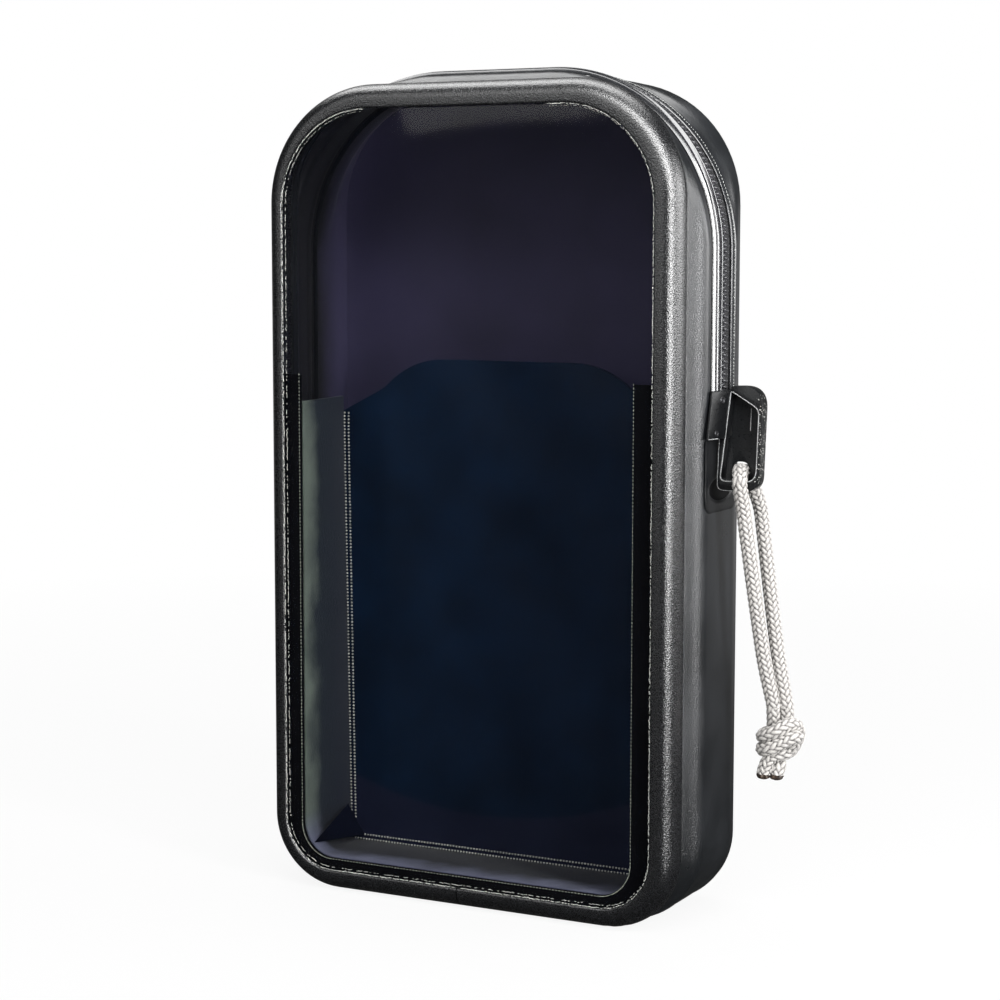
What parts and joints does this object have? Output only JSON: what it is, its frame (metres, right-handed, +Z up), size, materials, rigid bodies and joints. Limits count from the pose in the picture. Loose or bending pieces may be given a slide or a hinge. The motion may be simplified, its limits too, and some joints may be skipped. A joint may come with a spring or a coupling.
{
  "type": "waterproof phone pouch",
  "caption": "Upright zipped phone pouch: moulded shell with a clear front window, an inner pocket, a zipper round its upper half, and a slider with a knotted pull cord.",
  "frame": {"origin": "centre of the flat bottom, midway between the front and the back", "axes": "+Z up along the pouch's height, -Y out of the window, +X towards the side with the slider"},
  "size_m": [0.1352, 0.04, 0.2026],
  "materials": {
    "moulded_shell": "satin black moulded skin over foam",
    "grained_rim": "fine sandy grain, matte black",
    "clear_sheet": "clear glossy flexible sheet",
    "binding": "flat black binding strip",
    "lining": "dark navy smooth lining cloth",
    "zipper_tape": "black coated woven tape",
    "zipper_lip": "satin black rolled edge",
    "zipper_coil": "black moulded coil",
    "dock": "black moulded end piece",
    "slider": "black moulded plastic with a fine grain",
    "slider_metal": "blackened metal",
    "cord": "light grey round braid"
  },
  "bodies": {
    "pouch": {"body_shell": "moulded_shell", "front_rim": "grained_rim", "front_window": "clear_sheet", "pocket_binding": "binding", "pocket_gusset": "lining", "pocket_panel": "lining", "zipper_tape_front": "zipper_tape", "zipper_tape_rear": "zipper_tape", "zipper_lip_front": "zipper_lip", "zipper_lip_rear": "zipper_lip", "zipper_teeth_front": "zipper_coil", "zipper_teeth_rear": "zipper_coil", "end_dock_right": "dock", "end_dock_left": "dock"},
    "slider": {"slider_grip": "slider", "slider_core": "slider_metal", "slider_pin_upper": "slider_metal", "slider_pin_lower": "slider_metal", "pull_cord": "cord", "pull_knot": "cord"}
  },
  "joints": [
    {"name": "slider_travel", "type": "slide", "parent": "pouch", "child": "slider", "axis": [0, 0, 1], "range_m": [0, 0.031], "deforming": ["zipper_teeth_front", "zipper_teeth_rear"]}
  ]
}
